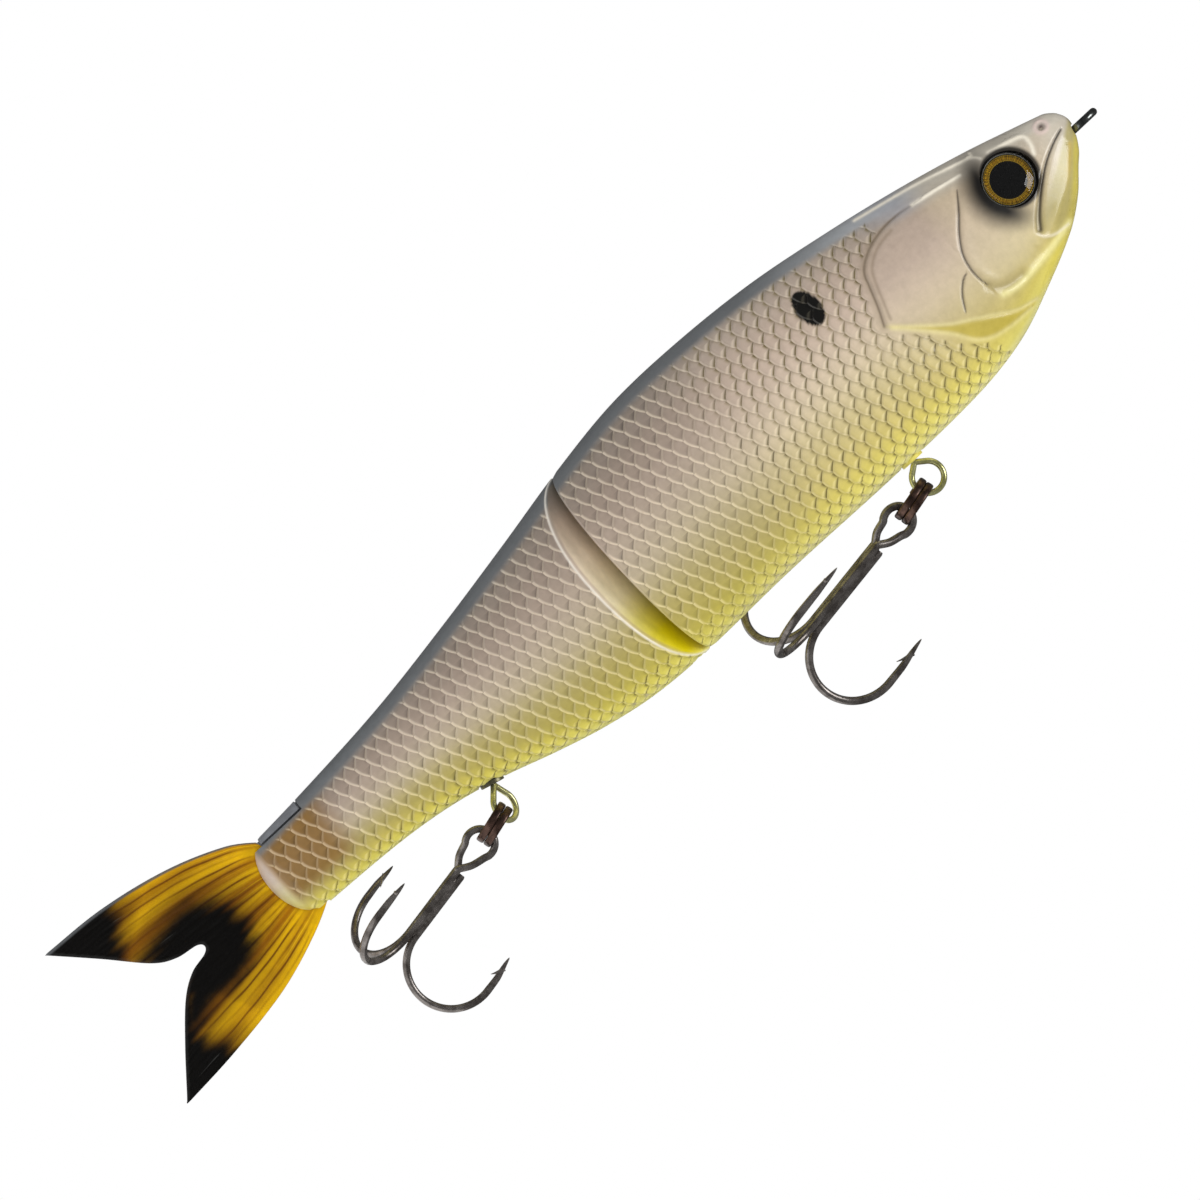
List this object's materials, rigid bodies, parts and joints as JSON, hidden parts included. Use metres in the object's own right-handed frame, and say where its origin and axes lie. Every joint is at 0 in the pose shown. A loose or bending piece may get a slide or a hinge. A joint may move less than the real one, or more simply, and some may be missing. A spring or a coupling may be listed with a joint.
{
  "type": "swimbait",
  "caption": "Two-piece jointed hard swimbait with line tie, pinned body hinge, swivel hook hangers, split rings, treble hooks and a lift-out forked tail fin.",
  "frame": {"origin": "centre of the line-tie loop, 1.3 mm ahead of the snout, from which the bait hangs", "axes": "+Z towards the nose along the body, +X towards the belly and the hooks, +Y towards the fish's left flank"},
  "size_m": [0.0546, 0.0255, 0.1833],
  "materials": {
    "body_plastic": "moulded scales, painted pearl taupe over yellow under clear coat",
    "fin_plastic": "flexible translucent amber with black blotches",
    "rail_plastic": "grey painted to match the back",
    "dark_wire": "smooth drawn wire",
    "hanger_wire": "bright drawn wire that mirrors the yellow belly",
    "hook_steel": "dark bronze nickel plating",
    "bushing_metal": "darkened brass",
    "ballast_metal": "cast weight, hidden",
    "eye_foil": "gold holographic foil with a black pupil",
    "eye_lens": "clear domed resin"
  },
  "bodies": {
    "front_body": {"front_shell_right": "body_plastic", "front_shell_left": "body_plastic", "line_tie": "dark_wire", "hinge_eye_upper": "dark_wire", "hinge_eye_lower": "dark_wire", "front_ballast_fore": "ballast_metal", "front_ballast_main": "ballast_metal", "front_hanger_bushing": "bushing_metal", "eye_foil_right": "eye_foil", "eye_lens_right": "eye_lens", "eye_foil_left": "eye_foil", "eye_lens_left": "eye_lens"},
    "front_hanger": {"front_hook_hanger": "hanger_wire"},
    "front_ring": {"front_split_ring": "hook_steel"},
    "front_treble": {"front_treble_double_hook": "hook_steel", "front_treble_single_hook": "hook_steel"},
    "tail_body": {"tail_shell_right": "body_plastic", "tail_shell_left": "body_plastic", "hinge_pin": "dark_wire", "hinge_pin_plug": "body_plastic", "tail_ballast": "ballast_metal", "rear_hanger_bushing": "bushing_metal"},
    "rear_hanger": {"rear_hook_hanger": "hanger_wire"},
    "rear_ring": {"rear_split_ring": "hook_steel"},
    "rear_treble": {"rear_treble_double_hook": "hook_steel", "rear_treble_single_hook": "hook_steel"},
    "fin_unit": {"tail_fin": "fin_plastic", "tail_fin_rail": "rail_plastic"}
  },
  "joints": [
    {"name": "tail_hinge", "type": "hinge", "parent": "front_body", "child": "tail_body", "pos_m": [0.0024, 0, -0.0883], "axis": [1, 0, 0], "range_deg": [-20, 20]},
    {"name": "front_hanger_swivel", "type": "hinge", "parent": "front_body", "child": "front_hanger", "pos_m": [0.01782, 0, -0.0486], "axis": [1, 0, 0], "range_deg": [-1, 90]},
    {"name": "front_ring_swing", "type": "hinge", "parent": "front_hanger", "child": "front_ring", "pos_m": [0.02102, 0, -0.0486], "axis": [0, -1, 0], "range_deg": [-1, 120]},
    {"name": "front_treble_swing", "type": "hinge", "parent": "front_ring", "child": "front_treble", "pos_m": [0.02211, 0, -0.05227], "axis": [0.9744, 0, 0.225], "range_deg": [-1.5, 45]},
    {"name": "rear_hanger_swivel", "type": "hinge", "parent": "tail_body", "child": "rear_hanger", "pos_m": [0.0109, 0, -0.1205], "axis": [0.9677, 0, -0.2521], "range_deg": [-20, 75]},
    {"name": "rear_ring_swing", "type": "hinge", "parent": "rear_hanger", "child": "rear_ring", "pos_m": [0.01438, 0, -0.12141], "axis": [0.1931, -0.6428, 0.7413], "range_deg": [-1, 90]},
    {"name": "rear_treble_swing", "type": "hinge", "parent": "rear_ring", "child": "rear_treble", "pos_m": [0.01528, -0.00144, -0.12412], "axis": [0.9659, 0, 0.2588], "range_deg": [-30, 30]},
    {"name": "tail_fin_slide", "type": "slide", "parent": "tail_body", "child": "fin_unit", "axis": [-1, 0, 0], "range_m": [0, 0.0125]}
  ]
}
